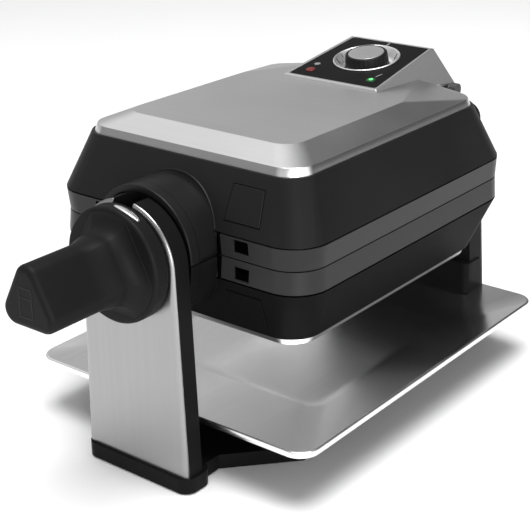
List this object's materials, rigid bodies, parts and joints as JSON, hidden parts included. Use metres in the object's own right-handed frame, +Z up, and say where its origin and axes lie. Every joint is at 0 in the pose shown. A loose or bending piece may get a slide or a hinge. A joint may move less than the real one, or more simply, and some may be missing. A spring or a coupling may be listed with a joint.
{
  "type": "rotating double waffle maker",
  "caption": "Double waffle maker whose two hinged halves turn as one between a front leg and a rear tower over a steel-topped base.",
  "frame": {"origin": "on the table plane, under the middle of the overall length (handle included) and width", "axes": "+Z up, +Y from the handle to the rear tower, +X to the right seen from the handle"},
  "size_m": [0.2496, 0.4264, 0.246],
  "materials": {
    "black_plastic": "fine satin moulded black plastic",
    "belt_plastic": "satin dark grey-black moulded plastic",
    "brushed_steel": "brushed stainless steel",
    "rubber_pad": "soft black rubber",
    "dark_steel_sheet": "thin black-painted steel sheet",
    "fastener": "zinc-plated steel",
    "bearing_plastic": "self-lubricating bearing plastic",
    "brass_bush": "plain bronze-coloured bush",
    "gland_rubber": "black rubber",
    "coated_casting": "cast aluminium with dark non-stick coat",
    "heater_sheath": "heat-tinted steel tube",
    "reflector": "bright aluminium pressing",
    "machined_steel": "turned steel",
    "dark_casting": "black-coated aluminium casting",
    "vent_black": "deep black plastic",
    "button_plastic": "satin black plastic",
    "panel_black": "smooth black panel",
    "chrome_trim": "polished chrome",
    "red_lens": "clear red lens",
    "green_lens": "clear green lens",
    "thermostat_body": "plated steel and insulation",
    "grip_plastic": "soft-touch black plastic",
    "badge_grey": "light grey pad print",
    "knob_plastic": "ribbed black plastic"
  },
  "bodies": {
    "base": {"base_frame": "black_plastic", "base_feet": "rubber_pad", "base_bottom_plate": "dark_steel_sheet", "base_screws": "fastener", "steel_deck": "brushed_steel", "front_leg_core": "black_plastic", "front_leg_cladding": "brushed_steel", "front_bearing_liner": "bearing_plastic", "rear_tower": "black_plastic", "tower_foot": "black_plastic", "rear_tower_cover": "black_plastic", "rear_bearing_bush": "brass_bush", "cord_gland": "gland_rubber", "tower_screws": "fastener"},
    "rotor": {"lower_shell": "black_plastic", "lower_belt": "belt_plastic", "lower_steel_cap": "brushed_steel", "lower_plate": "coated_casting", "lower_heater": "heater_sheath", "lower_reflector": "reflector", "lower_hub": "black_plastic", "front_sleeve": "machined_steel", "rear_carrier": "dark_casting", "rear_journal": "machined_steel", "journal_clip": "fastener", "hinge_pins": "fastener", "lower_vent_grilles": "vent_black", "lower_plate_clips": "fastener", "lower_screws": "fastener", "lower_button_spring": "fastener"},
    "lower_button": {"lower_release_button": "button_plastic"},
    "upper_button": {"upper_release_button": "button_plastic"},
    "knob": {"knob_body": "knob_plastic", "knob_cap": "brushed_steel"},
    "lid": {"upper_shell": "black_plastic", "upper_belt": "belt_plastic", "upper_steel_cap": "brushed_steel", "console_housing": "brushed_steel", "console_panel": "panel_black", "dial_ring": "chrome_trim", "red_lamp": "red_lens", "green_lamp": "green_lens", "thermostat": "thermostat_body", "upper_plate": "coated_casting", "upper_heater": "heater_sheath", "upper_reflector": "reflector", "upper_hub": "black_plastic", "handle_shaft": "dark_casting", "handle_collar": "black_plastic", "handle_mark": "chrome_trim", "handle_grip": "grip_plastic", "handle_badge": "badge_grey", "lid_hinge_knuckles": "dark_casting", "upper_vent_grilles": "vent_black", "upper_plate_clips": "fastener", "upper_screws": "fastener", "upper_button_spring": "fastener"}
  },
  "joints": [
    {"name": "rotor_turn", "type": "hinge", "parent": "base", "child": "rotor", "pos_m": [0, 0.04525, 0.16], "axis": [0, 1, 0], "range_deg": [-180, 0]},
    {"name": "lid_hinge", "type": "hinge", "parent": "rotor", "child": "lid", "pos_m": [0, 0.18125, 0.215], "axis": [-1, 0, 0], "range_deg": [0, 95]},
    {"name": "knob_turn", "type": "hinge", "parent": "lid", "child": "knob", "pos_m": [0, 0.14455, 0.23882], "axis": [0, 0.165, -0.9863], "range_deg": [0, 270]},
    {"name": "upper_release", "type": "slide", "parent": "lid", "child": "upper_button", "axis": [0, 0.9306, -0.3661], "range_m": [0, 0.0025], "stiffness_N_per_m": 800, "springref_m": -0.002},
    {"name": "lower_release", "type": "slide", "parent": "rotor", "child": "lower_button", "axis": [0, 0.9306, 0.3661], "range_m": [0, 0.0025], "stiffness_N_per_m": 800, "springref_m": -0.002}
  ]
}
